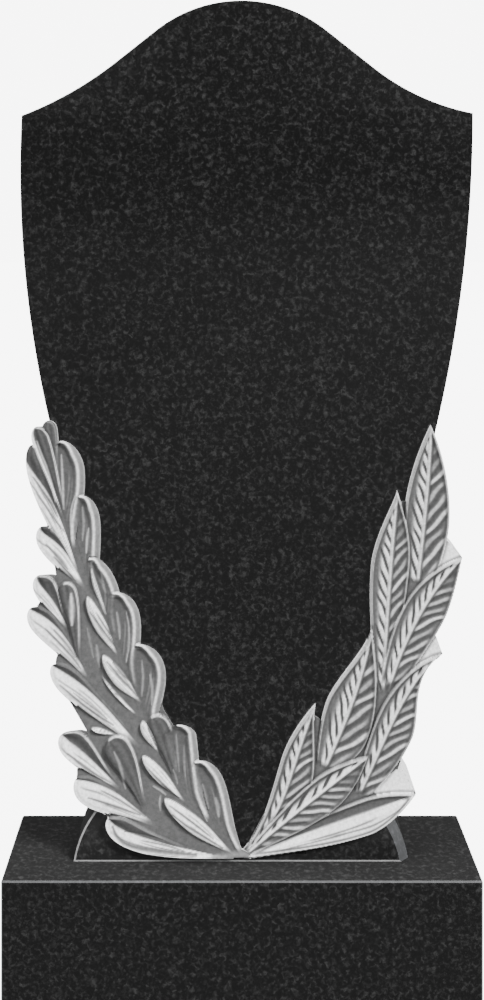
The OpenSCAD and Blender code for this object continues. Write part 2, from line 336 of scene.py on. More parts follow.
# half width, waist, bulge below the shoulder, shoulder below the top, slope there
LEFT_SIDE = (283.5 * MM, 54 * MM, 71 * MM, 147.5 * MM, math.radians(21))
RIGHT_SIDE = (297 * MM, 83 * MM, 0, 144.5 * MM, math.radians(11))
print("slab is", round(HEIGHT, 3), "m high and", round(BACK - FACE, 3), "m thick")


# %% Draw one half of the slab's outline
def side_x(half_width, waist, widest, z):
    rise, run = widest - WAIST_HEIGHT, half_width - waist
    radius = (rise ** 2 + run ** 2) / (2 * run)
    return half_width - radius + np.sqrt(radius ** 2 - (widest - z) ** 2)


def half_outline(half_width, waist, bulge_drop, shoulder_drop, slope):
    shoulder = HEIGHT - shoulder_drop
    widest = shoulder - bulge_drop
    shoulder_x = side_x(half_width, waist, widest, shoulder)
    s, c = math.sin(CROWN_SLOPE), math.cos(CROWN_SLOPE)
    across = shoulder_x - CROWN_RADIUS * s
    down = shoulder_drop - CROWN_RADIUS * (1 - c)
    arc_x, arc_z = s - math.sin(slope), math.cos(slope) - c
    hollow = (c * down - s * across) / (c * arc_z - arc_x * s)
    start_x, start_z = shoulder_x - hollow * arc_x, shoulder + hollow * arc_z
    side = [(side_x(half_width, waist, widest, z), z)
            for z in np.linspace(WAIST_HEIGHT, shoulder, SIDE_STEPS)]
    sweep = [(start_x + hollow * (s - math.sin(a)), start_z - hollow * (math.cos(a) - c))
             for a in np.linspace(slope, CROWN_SLOPE, HOLLOW_STEPS)[1:]]
    top = [(CROWN_RADIUS * math.sin(a), HEIGHT - CROWN_RADIUS * (1 - math.cos(a)))
           for a in np.linspace(CROWN_SLOPE, 0, CROWN_STEPS)[:-1]]
    return side + sweep + top


# %% Build the slab
ARRIS = 1.2 * MM


def on_plinth(points):
    return [(x, z + FOOT_Z) for x, z in points]


# Below this height the leaves hide the slab's sides. There the left side runs straight
# down, so that no pocket is left between it and the undercut oak branch.
HIDDEN_BELOW = 200 * MM
SLAB_END = 10 * MM
half_width, waist, bulge_drop, shoulder_drop, _ = LEFT_SIDE
hidden_x = side_x(half_width, waist, HEIGHT - shoulder_drop - bulge_drop, HIDDEN_BELOW)
right_half = half_outline(*RIGHT_SIDE)
left_half = [(-hidden_x if z < HIDDEN_BELOW else -x, z) for x, z in half_outline(*LEFT_SIDE)]
slab_outline = ([(RIGHT_SIDE[1], SLAB_END)] + right_half + [(0, HEIGHT)] + left_half[::-1]
                + [(-hidden_x, SLAB_END)])
slab = plate("slab", on_plinth(slab_outline), FACE, BACK)
bevel_edges(slab, lambda a, b: abs(a.y - b.y) < HAIR
            and min(a.z, b.z) > FOOT_Z + HIDDEN_BELOW, ARRIS, segments=2)
print("slab has", len(slab.data.polygons), "faces")

# %% [markdown]
# ## The foot
# The foot is as thick as the slab and stands wider than its waist. Its two upper
# corners are nearly quarter rounds. The front edge of the right one is cut back in a
# broad chamfer, ground and not polished. The left one has only a thin arris, and so has
# the bottom front edge, where the wheel was laid almost flat on the face.

# %% Build the foot
FOOT_HALF_WIDTH = 215 * MM
FOOT_RISE = 120 * MM
FOOT_RADIUS = 142 * MM
FOOT_CHAMFER = 12 * MM
FOOT_ARRIS = 2.2 * MM
ARRIS_DEPTH = 0.5 * MM
# a painted highlight on the foot's thin arrises
ARRIS_HIGHLIGHT_TONE = 0.62
ROUND_STEPS = 40
# An edge belongs to a corner if both its ends lie further out than this.
FOOT_MIDDLE = 30 * MM
# How much of a face's normal looks forwards on a flat front, and on a side at most
FACING, EDGEWISE = 0.995, 0.1

centre_z = FOOT_RISE - FOOT_RADIUS
centre_x = FOOT_HALF_WIDTH - math.sqrt(FOOT_RADIUS ** 2 - centre_z ** 2)
first = math.asin(-centre_z / FOOT_RADIUS)
foot_side = [(centre_x + FOOT_RADIUS * math.cos(a), centre_z + FOOT_RADIUS * math.sin(a))
             for a in np.linspace(first, math.pi / 2, ROUND_STEPS)]
foot = plate("foot", on_plinth(foot_side + [(-x, z) for x, z in foot_side[::-1]]), FACE, BACK)
for side, width in [(1, FOOT_CHAMFER), (-1, FOOT_ARRIS)]:
    bevel_edges(foot, lambda a, b: max(a.y, b.y) < FACE + HAIR and max(a.z, b.z) > FOOT_Z + HAIR
                and min(a.x * side, b.x * side) > FOOT_MIDDLE, width)
bevel_edges(foot, lambda a, b: max(a.y, b.y) < FACE + HAIR and max(a.z, b.z) < FOOT_Z + HAIR,
            FOOT_ARRIS)
for vertex in foot.data.vertices:
    if vertex.co.z < FOOT_Z + HAIR and abs(vertex.co.y - FACE - FOOT_ARRIS) < HAIR:
        vertex.co.y = FACE + ARRIS_DEPTH
# Light grey is painted on the foot's thin arrises: a painted highlight along its edges.
arris_highlight = np.zeros(len(foot.data.loops))
for face in foot.data.polygons:
    if face.normal.y < -FACING:
        face.material_index = FOOT_POLISH
    elif face.normal.y < -EDGEWISE:
        face.material_index = GROUND
        if face.normal.z < -EDGEWISE or face.center.x < 0:
            face.material_index = TOOLED
            arris_highlight[face.loop_start:face.loop_start + face.loop_total] = ARRIS_HIGHLIGHT_TONE
    elif face.normal.y < EDGEWISE and face.normal.z > -EDGEWISE:
        face.material_index = HONED
set_tone(foot, arris_highlight)
print("foot has", len(foot.data.polygons), "faces")

# %% [markdown]
# ## Where the leaves lie
# Each branch is drawn as a set of leaves in millimetres, measured from the middle of
# the foot's bottom edge. A leaf is a curved axis from its base to its tip, with a half
# width to the left and to the right of it. On the oak each rounded lobe is drawn so.
# The order is from the topmost leaf, which lies behind, to the lowest, which overlaps.
# A broad lobe lies towards the polished face. A finger lies towards the outside. Its
# last three numbers say where its trough lies across it, at its base and at its tip,
# and how strong the painted highlight on its rim is.

# %% The oak's lobes
# axis, left and right half width, where it is widest, width at the base, kind, trough
BROAD, FINGER = "broad", "finger"
OAK = [
    ([(-237, 480), (-243, 540), (-247, 567)], 10, 9, 0.80, 0.5, FINGER, (1.4, 1.4, 0.5)),
    ([(-215, 400), (-229, 455), (-231, 541)], 12, 28, 0.75, 0.1, BROAD, (0, 0, 0)),
    ([(-203, 352), (-250, 460), (-268, 536)], 16, 14, 0.75, 0.15, FINGER, (-0.8, 1.6, 0)),
    ([(-226, 440), (-248, 513), (-263, 559)], 11, 13, 0.82, 0.3, FINGER, (0.5, 0.75, 1)),
    ([(-188, 340), (-203, 430), (-206, 471)], 12, 21, 0.66, 0.3, BROAD, (0, 0, 0)),
    ([(-200, 350), (-238, 398), (-257, 431)], 16, 13, 0.70, 0.2, FINGER, (-0.9, 0.5, 0)),
    ([(-165, 290), (-178, 350), (-194, 391)], 12, 22, 0.50, 0.3, BROAD, (0, 0, 0)),
    ([(-172, 318), (-187, 345), (-193, 376)], 3, 4, 0.60, 0.3, FINGER, (-0.8, -0.8, 0)),
    ([(-140, 220), (-157, 310), (-163, 347)], 14, 27, 0.62, 0.3, BROAD, (0, 0, 0)),
    ([(-156, 260), (-184, 305), (-198, 341)], 9, 9, 0.55, 0.1, FINGER, (-0.9, -0.7, 0)),
    ([(-195, 232), (-240, 297), (-271, 326)], 17, 15, 0.72, 0.15, FINGER, (-0.8, 0.0, 0)),
    ([(-222, 298), (-250, 340), (-260, 369)], 13, 17, 0.72, 0.2, FINGER, (-0.3, 0.6, 1)),
    ([(-208, 250), (-217, 330), (-227, 360)], 12, 13, 0.78, 0.25, FINGER, (1.4, 1.4, 1)),
    ([(-118, 160), (-130, 240), (-133, 281)], 14, 32, 0.60, 0.3, BROAD, (0, 0, 0)),
    ([(-126, 202), (-158, 232), (-178, 266)], 10, 10, 0.55, 0.1, FINGER, (-0.9, -0.7, 0)),
    ([(-130, 185), (-163, 212), (-180, 240)], 3, 3, 0.35, 0.3, FINGER, (-0.8, -0.8, 0)),
    ([(-130, 146), (-200, 210), (-242, 254)], 17, 16, 0.74, 0.2, FINGER, (-0.8, 0.0, 0)),
    ([(-160, 163), (-180, 168), (-193, 172)], 5, 4, 0.60, 0.3, FINGER, (-0.8, -0.8, 0)),
    ([(-84, 100), (-98, 165), (-115, 189)], 14, 16, 0.72, 0.3, FINGER, (1.4, 1.4, 1)),
    ([(-104, 138), (-121, 165), (-127, 182)], 8, 6, 0.60, 0.2, FINGER, (-0.8, -0.6, 0)),
    ([(-45, 50), (-80, 140), (-80, 178)], 20, 21, 0.80, 0.3, BROAD, (0, 0, 0)),
    ([(-110, 47), (-175, 88), (-213, 107)], 23, 13, 0.70, 0.2, FINGER, (-0.9, -0.2, 0)),
    ([(-155, 93), (-205, 133), (-230, 166)], 16, 22, 0.74, 0.2, FINGER, (-0.3, 0.1, 1)),
    ([(-122, 60), (-148, 135), (-170, 160)], 19, 19, 0.76, 0.2, FINGER, (1.4, 1.4, 1)),
    ([(-69, 73), (-105, 110), (-127, 137)], 9, 9, 0.60, 0.1, FINGER, (-0.9, -0.7, 0)),
    ([(-2, 8), (-44, 95), (-58, 131)], 12, 23, 0.66, 0.2, BROAD, (0, 0, 0)),
    ([(-10, 5), (-140, 16), (-170, 58)], 16, 17, 0.75, 0.1, FINGER, (-0.5, 0.2, 0.4)),
    ([(-5, 6), (-65, 48), (-99, 82)], 12, 12, 0.55, 0.1, FINGER, (-0.9, -0.7, 0)),
]
# The stone that fills the branch from notch to notch, its outer webs, and the joint
# between the two branches
OAK_GROUND = [
    [(-4, 14), (-58, 127), (-99, 196), (-132, 280), (-160, 345), (-184, 392),
     (-207, 468), (-228, 510), (-246, 540), (-258, 520), (-262, 475), (-247, 432),
     (-238, 370), (-250, 345), (-256, 318), (-234, 262), (-222, 230), (-196, 180),
     (-190, 160), (-208, 122), (-208, 108), (-182, 70), (-173, 60), (-140, 22), (-20, 7)],
    [(-226, 218), (-196, 166), (-150, 160), (-165, 205)],
    [(-203, 165), (-196, 150), (-180, 150), (-182, 166), (-196, 167)],
    [(-236, 268), (-238, 262), (-238, 250), (-215, 245), (-205, 262)],
    [(-211, 122), (-211, 110), (-190, 95), (-165, 97), (-180, 120)],
    [(-250, 438), (-247, 426), (-225, 405), (-230, 425)],
    [(-262, 330), (-258, 336), (-230, 320), (-230, 298)],
    [(-40, 5.5), (9, 5.5), (13, 9), (3, 15), (-4, 16), (-30, 8)],
]
print(len(OAK), "oak lobes")

# %% The fine lines cut into the oak
# places along the line, its half width, its tone, and how far it stands up in mm:
# a number below zero is a cut. The cuts are painted dark, a painted shade in the grooves.
OAK_LINES = [
    ([(-231, 522), (-230, 500), (-229, 480), (-228, 452)], 3.0, 0.76, 0.8),
    ([(-262, 540), (-257, 524), (-250, 508), (-243, 484), (-238, 462)], 3.2, 0.84, 0.8),
    ([(-267, 494), (-255, 476), (-244, 460), (-236, 442)], 2.8, 0.38, -0.7),
    ([(-262, 472), (-250, 456), (-240, 440), (-228, 424)], 2.4, 0.46, -0.5),
    ([(-218, 418), (-219, 440), (-218, 455), (-213, 470)], 2.6, 0.76, 0.6),
    ([(-204, 455), (-202, 435), (-204, 412)], 3.2, 0.62, 0.5),
    ([(-196, 428), (-198, 412), (-199, 396)], 3.2, 0.78, 0.8),
    ([(-250, 408), (-236, 392), (-222, 376)], 2.6, 0.41, -0.6),
    ([(-240, 392), (-226, 376), (-212, 360)], 2.4, 0.44, -0.5),
    ([(-218, 345), (-217, 328), (-217, 305)], 6.0, 0.86, 0.9),
    ([(-180, 372), (-177, 356), (-174, 345)], 3.0, 0.60, 0.5),
    ([(-192, 376), (-188, 352), (-180, 332), (-174, 318)], 3.0, 0.80, 0.8),
    ([(-194, 322), (-182, 304), (-168, 284), (-160, 272)], 2.6, 0.38, -0.6),
    ([(-186, 320), (-174, 300), (-163, 284)], 2.2, 0.44, -0.4),
    ([(-160, 320), (-157, 302), (-156, 286)], 3.2, 0.66, 0.5),
    ([(-148, 322), (-144, 302), (-144, 276), (-148, 256)], 2.4, 0.72, 0.5),
    ([(-198, 300), (-194, 280), (-190, 262)], 3.0, 0.56, 0.4),
    ([(-252, 300), (-232, 280), (-216, 262), (-206, 248)], 2.8, 0.40, -0.7),
    ([(-240, 298), (-224, 280), (-212, 262)], 2.2, 0.46, -0.4),
    ([(-186, 278), (-184, 262), (-182, 250)], 4.0, 0.62, 0.4),
    ([(-172, 258), (-158, 240), (-142, 222), (-134, 212)], 2.6, 0.38, -0.6),
    ([(-165, 256), (-152, 240), (-140, 228)], 2.2, 0.44, -0.4),
    ([(-128, 258), (-126, 236), (-128, 212)], 3.0, 0.62, 0.5),
    ([(-117, 240), (-114, 220), (-115, 202)], 3.4, 0.68, 0.5),
    ([(-232, 228), (-206, 205), (-186, 190), (-164, 176)], 2.8, 0.40, -0.7),
    ([(-215, 218), (-192, 200), (-172, 184)], 2.2, 0.46, -0.4),
    ([(-178, 208), (-164, 192), (-148, 172)], 2.2, 0.48, -0.4),
    ([(-163, 143), (-156, 128), (-152, 110), (-149, 94)], 3.6, 0.66, 0.6),
    ([(-222, 140), (-204, 124), (-186, 112), (-168, 102)], 2.6, 0.42, -0.6),
    ([(-196, 84), (-172, 76), (-150, 68), (-130, 60)], 2.8, 0.40, -0.7),
    ([(-180, 92), (-160, 82), (-142, 70), (-124, 58)], 2.4, 0.42, -0.5),
    ([(-150, 40), (-120, 34), (-92, 26), (-66, 17)], 2.8, 0.42, -0.7),
    ([(-165, 46), (-160, 33), (-147, 23), (-122, 17), (-90, 13), (-58, 9)], 5.0, 0.40, -0.8),
    ([(-128, 28), (-100, 22), (-74, 14)], 2.2, 0.48, -0.4),
    ([(-36, 6), (-14, 8), (1, 11), (10, 7)], 9.0, 0.60, 0.0),
    ([(-118, 120), (-106, 106), (-92, 92), (-80, 82)], 2.6, 0.40, -0.6),
    ([(-88, 62), (-68, 46), (-46, 32), (-24, 18)], 2.6, 0.40, -0.6),
    ([(-92, 74), (-74, 60), (-56, 46), (-36, 30)], 2.4, 0.42, -0.5),
    ([(-84, 164), (-82, 140), (-80, 116)], 2.6, 0.58, 0.4),
    ([(-74, 150), (-73, 130), (-72, 108)], 2.2, 0.56, 0.4),
    ([(-50, 100), (-46, 84), (-42, 68)], 3.0, 0.58, 0.4),
    ([(-33, 82), (-30, 70), (-29, 58)], 4.0, 0.70, 0.5),
    ([(-60, 120), (-59, 95), (-53, 72), (-44, 52)], 2.8, 0.76, 0.7),
    ([(-88, 120), (-85, 112), (-82, 100)], 2.4, 0.62, 0.4),
    ([(-113, 97), (-104, 92), (-97, 86)], 2.4, 0.74, 0.6),
    ([(-104, 85), (-105, 76), (-104, 66)], 2.4, 0.70, 0.6),
]
print(len(OAK_LINES), "fine lines")

# %% The laurel's leaves
# axis, then for the left and the right half its half width, where it is widest and how
# fast it narrows, the width at the base, and how far apart the veins of each half are
LAUREL = [
    ([(226, 355), (240, 470), (243, 560)], (26, 0.45, 1.0), (32, 0.36, 1.0), 0.6, 19, 21),
    ([(182, 215), (190, 380), (200, 476)], (25, 0.55, 1.5), (24, 0.60, 1.1), 0.35, 19, 17),
    ([(190, 225), (225, 334), (283, 391)], (24, 0.50, 1.0), (31, 0.50, 1.0), 0.5, 17, 18),
    ([(106, 118), (151, 210), (168, 302)], (31, 0.42, 1.8), (36, 0.28, 1.3), 0.4, 18, 22),
    ([(150, 85), (185, 150), (205, 232), (258, 267)], (21, 0.50, 1.0), (32, 0.42, 3.0), 0.4,
     19, 18),
    ([(5, 10), (60, 60), (60, 120), (95, 202)], (17, 0.68, 1.0), (30, 0.55, 1.2), 0.3, 18, 17),
    ([(2, 6), (130, 60), (224, 88)], (14, 0.70, 1.0), (32, 0.65, 1.0), 0.1, 0, 0),
    ([(5, 8), (95, 85), (163, 137)], (19, 0.60, 1.0), (28, 0.60, 1.0), 0.1, 22, 16),
]
# The stone between the leaves, from notch to notch, then the webs at the right, painted pale as
# lit
LAUREL_GROUND = [
    [(4, 14), (14, 8), (110, 24), (184, 48), (200, 70), (201, 118), (220, 180),
     (222, 230), (247, 290), (266, 350), (262, 404), (262, 470), (242, 545),
     (214, 462), (198, 462), (170, 385), (170, 304), (150, 258), (120, 225),
     (104, 180), (92, 188), (66, 160), (46, 92)],
    [(203, 458), (209, 462), (214, 462), (218, 440), (205, 430)],
    [(97, 178), (104, 180), (108, 160), (95, 160)],
]
LAUREL_PALE = [
    [(262, 414), (283, 391), (250, 360), (230, 380)],
    [(250, 289), (258, 267), (225, 240), (215, 255)],
    [(198, 117), (207, 117), (224, 88), (185, 75), (165, 95)],
]
print(len(LAUREL), "laurel leaves")

# %% [markdown]
# ## How a leaf follows its axis
# A leaf's axis is a smooth curve from the first of its control points to the last, bent
# towards those between them. It is found by dividing the lines between the points, then
# the lines between those, and so on. A leaf's width grows from its base and closes at
# its tip. Every point of the leaf is then named by two numbers: how far along it lies,
# and how far across, from -1 at the right rim to +1 at the left.

# %% Curves and widths
# The drawing's sizes against the stone's, across and up, and how high it starts in mm
BRANCH_REACH = 282 / 283
BRANCH_SCALE = 565 / 567
BRANCH_LIFT = 2


def placed(points):
    """Millimetres on the drawing to metres on the stone, as x and z."""
    return np.stack([points[..., 0] * BRANCH_REACH * MM,
                     (BRANCH_LIFT + points[..., 1] * BRANCH_SCALE) * MM + FOOT_Z], -1)


def along_axis(axis, u):
    """The point that lies a share u along the axis, for many u at once."""
    rows = [np.array(p, float)[None, :] + 0 * u[:, None] for p in axis]
    while len(rows) > 1:
        rows = [a * (1 - u[:, None]) + b * u[:, None] for a, b in zip(rows, rows[1:])]
    return rows[0]


def unit(v):
    return v / np.linalg.norm(v, axis=-1, keepdims=True)


def width_share(u, widest, base, neck, belly, tip):
    grow = base + (1 - base) * np.sin(math.pi / 2 * np.clip(u / widest, 0, 1)) ** neck
    close = (1 - np.clip((u - widest) / (1 - widest), 0, 1) ** belly) ** tip
    return np.where(u < widest, grow, close)


def spine_and_across(axis, u):
    steps = [np.subtract(b, a) for a, b in zip(axis, axis[1:])]
    ahead = unit(along_axis(steps, u))
    return along_axis(axis, u), np.stack([-ahead[:, 1], ahead[:, 0]], -1)


def ease(x):
    x = np.clip(x, 0, 1)
    return x * x * (3 - 2 * x)


def ridge(distance, half_width):
    """1 on a line and 0 beyond half_width from it, with a soft fall."""
    return ease(1 - np.abs(distance) / half_width)


# %% [markdown]
# ## The oak branch as one relief
# On the real stone the oak is one rolling surface: the lobes melt into the ground
# between them, and only their tips stand clear. So it is made as one relief. A fine
# grid is laid over the branch, and every point of it is told how far it stands proud
# of the face and how light its stone is. Each lobe in turn is laid over the ones
# before it. The grid is thickened into a block, and the branch is cut out of it like a
# biscuit, with a cutter joined from the outlines of all the lobes and of the ground.

# %% Measure points against a curve
def near_curve(points, curve):
    """For each point: distance to the curve, share along it, and side (left is +1)."""
    start, step = curve[:-1], np.diff(curve, axis=0)
    length = np.linalg.norm(step, axis=1)
    offset = points[:, None, :] - start[None]
    share = np.clip((offset * step).sum(-1) / length ** 2, 0, 1)
    gap = offset - share[..., None] * step
    distance = np.linalg.norm(gap, axis=-1)
    best = distance.argmin(1)
    row = np.arange(len(points))
    along = (np.concatenate([[0], np.cumsum(length)[:-1]])[best]
             + share[row, best] * length[best]) / length.sum()
    side = np.sign(step[best, 0] * offset[row, best, 1] - step[best, 1] * offset[row, best, 0])
    return distance[row, best], along, side


def smooth_curve(places, count=24, rounds=6):
    """A line through the places, rounded by averaging each point with its neighbours."""
    places = np.array(places, float)
    t = np.linspace(0, len(places) - 1, count)
    line = np.stack([np.interp(t, range(len(places)), places[:, k]) for k in (0, 1)], -1)
    for _ in range(rounds):
        line[1:-1] = 0.5 * line[1:-1] + 0.25 * (line[:-2] + line[2:])
    return line


def inside_polygon(points, outline):
    outline = np.array(outline, float)
    inside = np.zeros(len(points), dtype=bool)
    for a, b in zip(outline, np.roll(outline, -1, axis=0)):
        if a[1] != b[1]:
            spans = (a[1] > points[:, 1]) != (b[1] > points[:, 1])
            reach = a[0] + (points[:, 1] - a[1]) * (b[0] - a[0]) / (b[1] - a[1])
            inside ^= spans & (points[:, 0] < reach)
    return inside


def near_box(points, shape, margin):
    """Which points lie in the shape's box or within a margin of it."""
    low, high = shape.min(0) - margin, shape.max(0) + margin
    return np.where(((points > low) & (points < high)).all(1))[0]


def where_stone_ends(points, outlines, reach=3):
    """Which points lie outside every outline, and which lie a few steps from those."""
    row = np.unique(np.round(points[:, 1], 3), return_inverse=True)[1]
    column = np.unique(np.round(points[:, 0], 3), return_inverse=True)[1]
    void = np.ones((row.max() + 1, column.max() + 1), dtype=bool)
    for outline in outlines:
        outline = np.array(outline, float)
        near = near_box(points, outline, 0)
        hit = near[inside_polygon(points[near], outline)]
        void[row[hit], column[hit]] = False
    close = void.copy()
    for _ in range(reach):
        for part in (close, close.T):
            part[1:] |= part[:-1].copy()
            part[:-1] |= part[1:].copy()
    return void[row, column], close[row, column]


def measure_leaf(points, rim_left, rim_right, spine):
    """Which points lie near a leaf, and how they lie on it. All lengths are in mm."""
    near = near_box(points, np.concatenate([rim_left, rim_right]), 5)
    spot = points[near]
    away, along, side = near_curve(spot, spine)
    from_left = near_curve(spot, rim_left)[0]
    from_right, rim_share, _ = near_curve(spot, rim_right)
    inside = inside_polygon(spot, np.concatenate([rim_left, rim_right[::-1]]))
    share = away / np.maximum(away + np.where(side > 0, from_left, from_right), 1e-3)
    return near, along, side, away, share, from_left, from_right, rim_share, inside


# %% The surface of an oak lobe
GROUND_HEIGHT = 5.0
# The oak's ground between the lobes is painted dark, a painted shade on the recessed stone.
GROUND_TONE = 0.39
# How near its rim, in mm, a point past the stone's end still takes the leaf's light
BEYOND = 1.8
FADE_IN = 0.12
# The smooth band along a broad lobe's right rim, and the crest beside it, in mm
BAND_WIDTH = 8.5
BAND_HEIGHT = 3.0
CREST_HEIGHT = 6.5
# how far inside the band's edge, in mm, and the painted light and shade there: light
# on the band and crest, shade in the hollow past the crest
BAND_PLACES = [-9, -7.8, -6.5, -3, -1.2, 0.5, 2.5, 5]
BAND_LIGHT_AND_SHADE = [0.60, 0.66, 0.52, 0.54, 0.80, 0.84, 0.50, 0.35]
# mm beside the crest, how much lighter, where along the lobe it starts and ends
BROAD_RIBS = [(6.5, 0.10, 0.2, 0.7), (10.5, 0.14, 0.3, 0.75)]
# place across the trough, half width, how much darker, where it starts and ends
FINGER_STREAKS = [(0.42, 0.10, 0.34, 0.20, 0.75), (0.80, 0.11, 0.30, 0.35, 0.95),
                  (1.20, 0.10, 0.26, 0.10, 0.65)]


def lobe_sides(axis, left, right, widest, base, count=40):
    u = np.sin(np.linspace(0, math.pi / 2, count))
    spine, across = spine_and_across(axis, u)
    share = width_share(u, widest, base, neck=1.5, belly=2.0, tip=0.55)[:, None]
    return spine + across * left * share, spine - across * right * share, spine


def window(along, start, end):
    return ease((along - start) / FADE_IN) * ease((end - along) / FADE_IN)


def broad_surface(along, from_left, from_right, rim_share, number):
    """Height in mm, tone, and how much the lobe covers what lies under it."""
    # The band along the right rim starts as a line at the tip and widens downwards.
    narrowing = 1 - 0.75 * ease((rim_share - 0.80) / 0.2)
    band = BAND_WIDTH * ease(along / 0.5 + 0.3) * narrowing
    inside = from_right - band
    crest = CREST_HEIGHT + 3 * along
    on_band = BAND_HEIGHT + (crest - BAND_HEIGHT) * np.clip(from_right / band, 0, 1) ** 0.8
    past_crest = crest - (crest - GROUND_HEIGHT) * ease(inside / 9)
    height = np.where(inside < 0, on_band, past_crest)
    tone = np.interp(inside, BAND_PLACES, BAND_LIGHT_AND_SHADE)
    # Soft ribs run along the lobe, side by side with its crest.
    for place, light, start, end in BROAD_RIBS:
        rib = ridge(inside - place - 1.2 * math.sin(number), 1.8) * window(along, start, end)
        tone = tone + light * rib
        height = height + 0.5 * rib
    cover = ease(from_left / 9) * ease(along / 0.3)
    return height, tone, np.maximum(cover, ease(1 - (inside - 1) / 4) * ease(along / 0.1))


def finger_surface(along, across, from_left, from_right, trough, number, at_end):
    """The same for a finger: its trough has a painted lit side and a painted dark side."""
    low, high, rim_light = trough
    side = across - (low + (high - low) * along ** 3)
    edge = np.minimum(from_left, from_right) + 2.5 * at_end
    rim = 6 + 6 * along
    lit = ease(side / 0.16 + 0.5)
    sunk = np.where(side > 0, 1 - ease(side / 1.3), 1 - ease(-side / 0.9))
    height = rim - 3.5 * sunk * ease(along / 0.3)
    height = GROUND_HEIGHT + (height - GROUND_HEIGHT) * ease(edge / 5 + 0.3)
    bright = 0.89 - 0.08 * ridge(from_left - 4.5, 2.5)
    # The chisel left a few dark streaks down the lit side.
    for place, thick, depth, start, end in FINGER_STREAKS:
        wobble = 0.05 * np.sin(9 * along + 2.3 * number) + 0.06 * math.sin(5 * number + 8 * place)
        streak = ridge(side - place - wobble, thick) * window(along, start, end)
        bright = bright - depth * streak
        height = height - 0.5 * streak
    # The side turned from the key light is painted dark, a painted shade.
    dark = 0.33 + 0.05 * np.sin(9 * across + number)
    tone = lit * bright + (1 - lit) * dark
    # A painted highlight runs along the right rim.
    line = ridge(from_right - 1.8, 2.2) * rim_light * ease((along - 0.1) / 0.3)
    tone = tone + (0.84 - tone) * line
    return height, tone, ease(edge / 2.2) * ease(along / 0.22)


# %% Lay the lobes and the lines over the ground
LINE_STRENGTH = 0.9


def lay_over(old, new, cover):
    return old * (1 - cover) + new * cover


def oak_relief(points):
    height = np.full(len(points), GROUND_HEIGHT)
    tone = np.full(len(points), GROUND_TONE)
    rims = [lobe_sides(*row[:5]) for row in OAK]
    outlines = [np.concatenate([a, b[::-1]]) for a, b, _ in rims]
    void, at_end = where_stone_ends(points, outlines + OAK_GROUND)
    for number, (*_, kind, trough) in enumerate(OAK):
        near, along, side, _, share, from_left, from_right, rim_share, inside = measure_leaf(
            points, *rims[number])
        edge = np.minimum(from_left, from_right)
        # Where the stone ends behind a rim, the lobe keeps its height and its light.
        inside = inside | (void[near] & (edge < BEYOND))
        if kind == BROAD:
            new = broad_surface(along, from_left, from_right, rim_share, number)
        else:
            new = finger_surface(along, side * share, from_left, from_right, trough, number,
                                 at_end[near])
        cover = new[2] * inside
        # A painted shadow darkens the stone just outside each lobe's rim, as the lobe would shade
        # it.
        shade = ridge(edge, 3.0) * ~inside * ease(along / 0.5)
        tone[near] = tone[near] * (1 - 0.12 * shade)
        height[near] = lay_over(height[near], new[0], cover)
        tone[near] = lay_over(tone[near], new[1], cover)
    for places, width, light, raised in OAK_LINES:
        line = smooth_curve(places)
        near = near_box(points, line, 8)
        distance, along, _ = near_curve(points[near], line)
        taper = 0.35 + 0.65 * np.sin(math.pi * np.clip(along, 0.02, 0.98)) ** 0.6
        mark = ridge(distance, width * taper)
        height[near] += raised * mark
        tone[near] += (light - tone[near]) * mark * LINE_STRENGTH
    return height, tone


# %% The tools that cut a branch out of its block
RELIEF_STEP = 1.25
REAR_SPARE = 5 * MM
CUTTER_FRONT = FACE - 30 * MM
THINNEST = 1.0
# The oak's walls begin to lean back here, and fall by this much for each metre that
# they lie below the eye. Near the foot they stand straight.
UNDERCUT_START = FACE - 11 * MM
UNDERCUT = 0.0527
# above the plinth's top
EYE_HEIGHT = 825 * MM
STRAIGHT_WALLS = 20 * MM
LEAN_GROWS = 110 * MM


def leaning(z):
    """How far a wall falls towards the rear, to stay hidden from eye height."""
    above = z - FOOT_Z
    share = min(max((above - STRAIGHT_WALLS) / LEAN_GROWS, 0), 1)
    return UNDERCUT * (EYE_HEIGHT - above) * share


def branch_sheet(name, low, high):
    """A fine flat grid over a branch, and where its points lie on the drawing."""
    start_clean()
    low, high = np.array(low), np.array(high)
    cells = np.round((high - low) / RELIEF_STEP).astype(int)
    bpy.ops.mesh.primitive_grid_add(x_subdivisions=int(cells[0]),
                                    y_subdivisions=int(cells[1]), size=2)
    sheet = newest(name)
    flat = np.zeros(len(sheet.data.vertices) * 3)
    sheet.data.vertices.foreach_get("co", flat)
    return sheet, low + (high - low) * (flat.reshape(-1, 3)[:, :2] + 1) / 2


